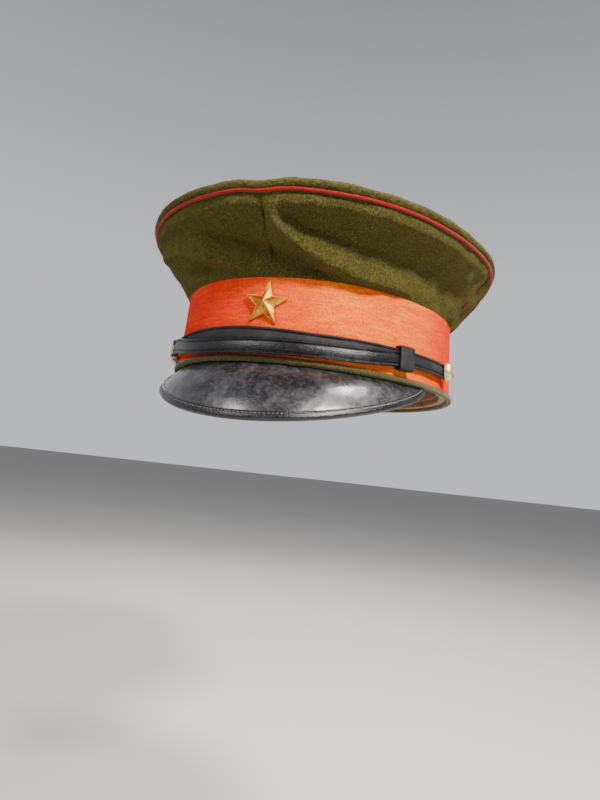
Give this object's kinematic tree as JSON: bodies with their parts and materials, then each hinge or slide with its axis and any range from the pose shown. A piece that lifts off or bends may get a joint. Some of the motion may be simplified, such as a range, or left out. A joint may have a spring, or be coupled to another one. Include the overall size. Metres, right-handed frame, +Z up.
{
  "type": "peaked cap",
  "caption": "Peaked cap with a flat spread crown, a felt band, a steep lacquered peak, a sliding two-layer chin strap on turning side buttons and a star badge.",
  "frame": {"origin": "centre of the head opening, at the bottom edge of the band", "axes": "+Z up through the crown, -Y towards the peak, +X towards the wearer's left"},
  "size_m": [0.2198, 0.2494, 0.1224],
  "materials": {
    "olive_wool": "napped wool",
    "red_felt": "felt",
    "red_piping": "wool piping",
    "olive_cord": "twisted cord",
    "lining_cloth": "satin twill",
    "buckram": "stiffened canvas",
    "sweatband_leather": "worn",
    "lacquered_leather": "glossy lacquer",
    "peak_lining_leather": "satin",
    "strap_leather": "polished",
    "strap_suede": "worn matte",
    "brass": "polished and dulled",
    "eyelet_metal": "worn enamel",
    "spring_steel": "plain"
  },
  "bodies": {
    "cap": {"crown_top_panel": "olive_wool", "crown_front_left": "olive_wool", "crown_front_right": "olive_wool", "crown_back_left": "olive_wool", "crown_back_right": "olive_wool", "crown_piping": "red_piping", "crown_hoop_wire": "spring_steel", "hoop_ferrule": "brass", "crown_lining_tip": "lining_cloth", "crown_lining_side": "lining_cloth", "vent_eyelets_left": "eyelet_metal", "vent_eyelets_right": "eyelet_metal", "hat_band": "red_felt", "band_stiffener": "buckram", "lower_piping": "olive_cord", "sweatband": "sweatband_leather", "peak": "lacquered_leather", "peak_lining": "peak_lining_leather", "peak_binding": "lacquered_leather", "star_badge": "brass", "badge_prongs": "brass"},
    "chin_strap": {"chin_strap_front": "strap_leather", "chin_strap_rear": "strap_suede"},
    "keeper": {"strap_keeper": "strap_leather"},
    "slider": {"strap_slider": "brass"},
    "button_left": {"button_left": "brass", "button_pin_left": "spring_steel"},
    "button_right": {"button_right": "brass", "button_pin_right": "spring_steel"}
  },
  "joints": [
    {"name": "strap_swing", "type": "hinge", "parent": "cap", "child": "chin_strap", "pos_m": [0, -0.02621, 0.0106], "axis": [-1, 0, 0], "range_deg": [-3.5, 2.5]},
    {"name": "keeper_slide", "type": "hinge", "parent": "chin_strap", "child": "keeper", "pos_m": [-0.02561, 0, 0.0104], "axis": [0, 0, 1], "range_deg": [-0.5, 16]},
    {"name": "slider_slide", "type": "hinge", "parent": "chin_strap", "child": "slider", "pos_m": [0.02561, 0, 0.0104], "axis": [0, 0, 1], "range_deg": [-12, 4.5]},
    {"name": "button_left_turn", "type": "hinge", "parent": "cap", "child": "button_left", "pos_m": [0.08447, -0.02541, 0.0104], "axis": [0.9726, -0.2245, 0.0606], "continuous": true},
    {"name": "button_right_turn", "type": "hinge", "parent": "cap", "child": "button_right", "pos_m": [-0.08447, -0.02541, 0.0104], "axis": [-0.9726, -0.2245, 0.0606], "continuous": true}
  ]
}
